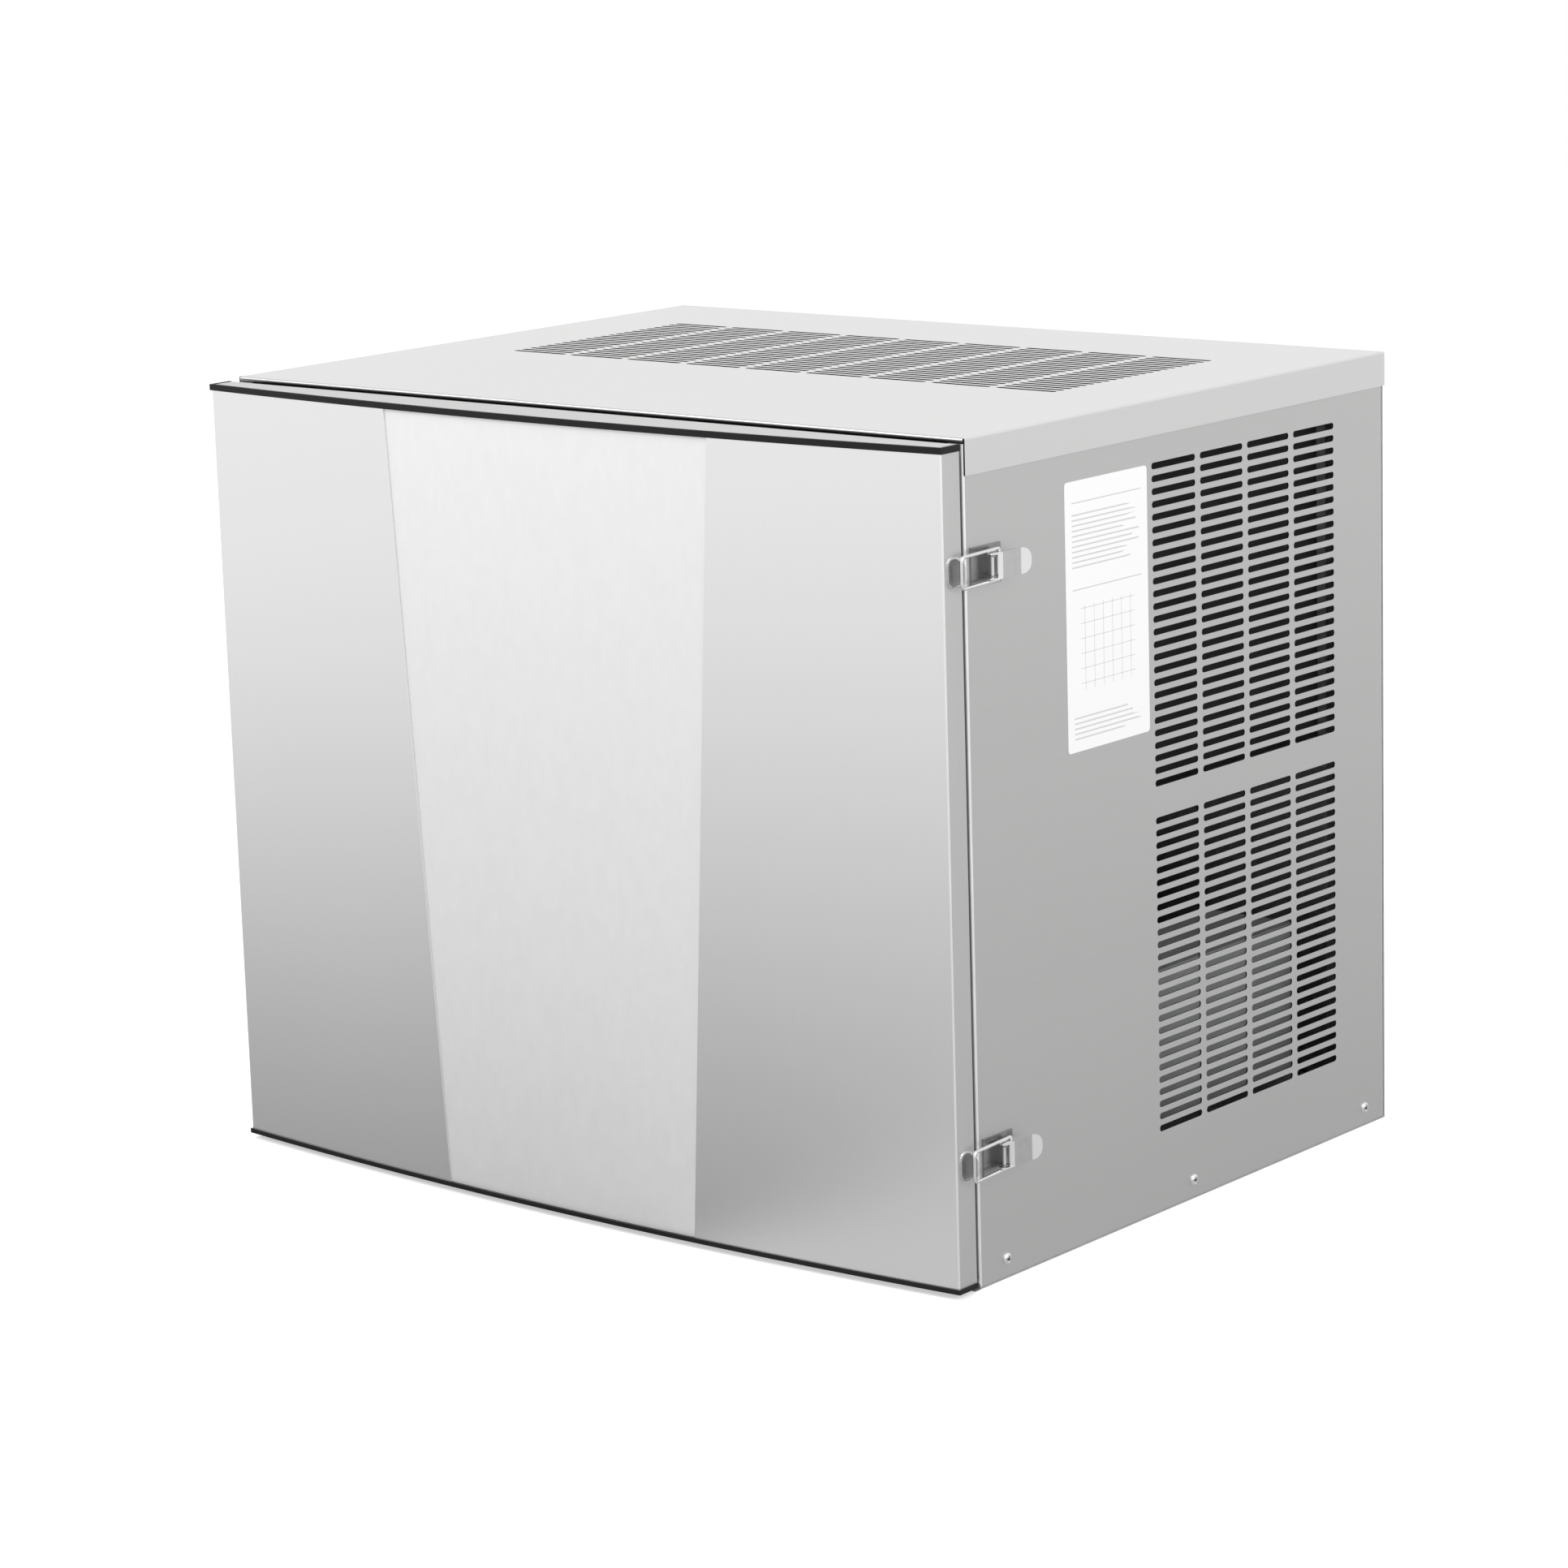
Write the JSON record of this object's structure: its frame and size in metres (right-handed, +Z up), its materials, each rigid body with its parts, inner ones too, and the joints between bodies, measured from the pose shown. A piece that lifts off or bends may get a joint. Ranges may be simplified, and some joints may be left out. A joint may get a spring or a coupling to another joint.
{
  "type": "modular ice cube machine",
  "caption": "Modular ice cube machine head: steel cabinet, bowed lift-off front held by toggle latches, slotted vents, with its ice-making and cooling parts inside.",
  "frame": {"origin": "middle of the cabinet's footprint, on the surface it stands on", "axes": "+X to the right seen from the front, +Y to the back, +Z up"},
  "size_m": [0.7906, 0.6124, 0.651],
  "materials": {
    "side_steel": "fine vertical brushed grain, satin",
    "back_steel": "dull galvanised",
    "cover_steel": "fine brushed grain, satin",
    "door_steel": "fine brushed grain, satin",
    "centre_steel": "fine satin",
    "trim_black": "satin black",
    "rail_grey": "dark grey, satin",
    "frame_black": "matt black",
    "door_plastic": "fine pale grey",
    "gasket_rubber": "matt black",
    "base_steel": "dull galvanised",
    "latch_steel": "bright plated",
    "screw_steel": "bright plated",
    "liner_plastic": "smooth white",
    "cell_nickel": "satin nickel plate",
    "surround_plastic": "pale grey, satin",
    "curtain_plastic": "milky white",
    "pump_plastic": "black, satin",
    "hose_rubber": "milky silicone",
    "copper": "bare copper, slightly dulled",
    "valve_brass": "machined brass",
    "valve_plastic": "off-white",
    "pipe_plastic": "pale grey",
    "compressor_black": "semi-gloss black",
    "capacitor_grey": "light grey, satin",
    "condenser_aluminium": "finned, dull",
    "shroud_steel": "dull galvanised",
    "fan_aluminium": "plain sheet",
    "motor_paint": "dark grey, satin",
    "control_steel": "light grey, satin",
    "board_green": "green lacquer",
    "switch_plastic": "gloss black",
    "gland_plastic": "matt black"
  },
  "bodies": {
    "cabinet": {"right_side_panel": "side_steel", "left_side_panel": "side_steel", "back_panel": "back_steel", "top_cover": "cover_steel", "front_rail": "rail_grey", "front_frame": "frame_black", "compressor_grommets": "gasket_rubber", "base_pan": "base_steel", "rear_right_post": "base_steel", "rear_left_post": "base_steel", "latch_bases": "latch_steel", "latch_hinge_pins": "latch_steel", "casing_screws": "screw_steel", "compartment_liner": "liner_plastic", "evaporator_grid": "cell_nickel", "evaporator_surround": "surround_plastic", "water_distributor": "surround_plastic", "water_trough": "surround_plastic", "water_pump": "pump_plastic", "water_hose": "hose_rubber", "evaporator_coil": "copper", "discharge_line": "copper", "suction_line": "copper", "liquid_line": "copper", "filter_drier": "copper", "expansion_valve": "valve_brass", "hot_gas_valve": "valve_brass", "inlet_valve": "valve_plastic", "dump_valve": "valve_plastic", "water_line": "pipe_plastic", "drain_pipe": "pipe_plastic", "compressor": "compressor_black", "capacitor_box": "capacitor_grey", "condenser_coil": "condenser_aluminium", "fan_shroud": "shroud_steel", "fan_bracket": "shroud_steel", "fan_motor": "motor_paint", "control_box": "control_steel", "control_cover": "control_steel", "control_board": "board_green", "power_gland": "gland_plastic"},
    "door": {"door_left_wing": "door_steel", "door_right_wing": "door_steel", "door_centre_panel": "centre_steel", "door_liner": "door_plastic", "door_top_trim": "trim_black", "door_bottom_cap": "trim_black", "door_gasket": "gasket_rubber", "latch_strikes": "latch_steel"},
    "upper_right_lever_body": {"upper_right_lever": "latch_steel"},
    "upper_right_bail_body": {"upper_right_bail": "latch_steel"},
    "upper_left_lever_body": {"upper_left_lever": "latch_steel"},
    "upper_left_bail_body": {"upper_left_bail": "latch_steel"},
    "lower_right_lever_body": {"lower_right_lever": "latch_steel"},
    "lower_right_bail_body": {"lower_right_bail": "latch_steel"},
    "lower_left_lever_body": {"lower_left_lever": "latch_steel"},
    "lower_left_bail_body": {"lower_left_bail": "latch_steel"},
    "fan": {"fan_blades": "fan_aluminium"},
    "curtain": {"water_curtain": "curtain_plastic"},
    "switch": {"power_switch": "switch_plastic"}
  },
  "joints": [
    {"name": "door_lift_off", "type": "slide", "parent": "cabinet", "child": "door", "axis": [0, -1, 0], "range_m": [0, 0.35]},
    {"name": "upper_right_lever_turn", "type": "hinge", "parent": "cabinet", "child": "upper_right_lever_body", "pos_m": [0.388, -0.2595, 0.554], "axis": [0, 0, -1], "range_deg": [0, 150]},
    {"name": "upper_right_bail_turn", "type": "hinge", "parent": "upper_right_lever_body", "child": "upper_right_bail_body", "pos_m": [0.386, -0.2485, 0.554], "axis": [0, 0, -1], "range_deg": [-150, 0]},
    {"name": "upper_left_lever_turn", "type": "hinge", "parent": "cabinet", "child": "upper_left_lever_body", "pos_m": [-0.388, -0.2595, 0.554], "axis": [0, 0, 1], "range_deg": [0, 150]},
    {"name": "upper_left_bail_turn", "type": "hinge", "parent": "upper_left_lever_body", "child": "upper_left_bail_body", "pos_m": [-0.386, -0.2485, 0.554], "axis": [0, 0, 1], "range_deg": [-150, 0]},
    {"name": "lower_right_lever_turn", "type": "hinge", "parent": "cabinet", "child": "lower_right_lever_body", "pos_m": [0.388, -0.2595, 0.102], "axis": [0, 0, -1], "range_deg": [0, 150]},
    {"name": "lower_right_bail_turn", "type": "hinge", "parent": "lower_right_lever_body", "child": "lower_right_bail_body", "pos_m": [0.386, -0.2485, 0.102], "axis": [0, 0, -1], "range_deg": [-150, 0]},
    {"name": "lower_left_lever_turn", "type": "hinge", "parent": "cabinet", "child": "lower_left_lever_body", "pos_m": [-0.388, -0.2595, 0.102], "axis": [0, 0, 1], "range_deg": [0, 150]},
    {"name": "lower_left_bail_turn", "type": "hinge", "parent": "lower_left_lever_body", "child": "lower_left_bail_body", "pos_m": [-0.386, -0.2485, 0.102], "axis": [0, 0, 1], "range_deg": [-150, 0]},
    {"name": "fan_spin", "type": "hinge", "parent": "cabinet", "child": "fan", "pos_m": [0.3248, 0.07975, 0.474], "axis": [1, 0, 0], "continuous": true},
    {"name": "curtain_swing", "type": "hinge", "parent": "cabinet", "child": "curtain", "pos_m": [-0.07445, -0.1725, 0.4966], "axis": [-1, 0, 0], "range_deg": [0, 20]},
    {"name": "power_switch_rock", "type": "hinge", "parent": "cabinet", "child": "switch", "pos_m": [0.3015, -0.1585, 0.5], "axis": [1, 0, 0], "range_deg": [-14, 14]}
  ],
  "couplings": [
    {"joint": "upper_right_bail_turn", "follows": "upper_right_lever_turn", "ratio": -1},
    {"joint": "upper_left_bail_turn", "follows": "upper_left_lever_turn", "ratio": -1},
    {"joint": "lower_right_bail_turn", "follows": "lower_right_lever_turn", "ratio": -1},
    {"joint": "lower_left_bail_turn", "follows": "lower_left_lever_turn", "ratio": -1}
  ]
}
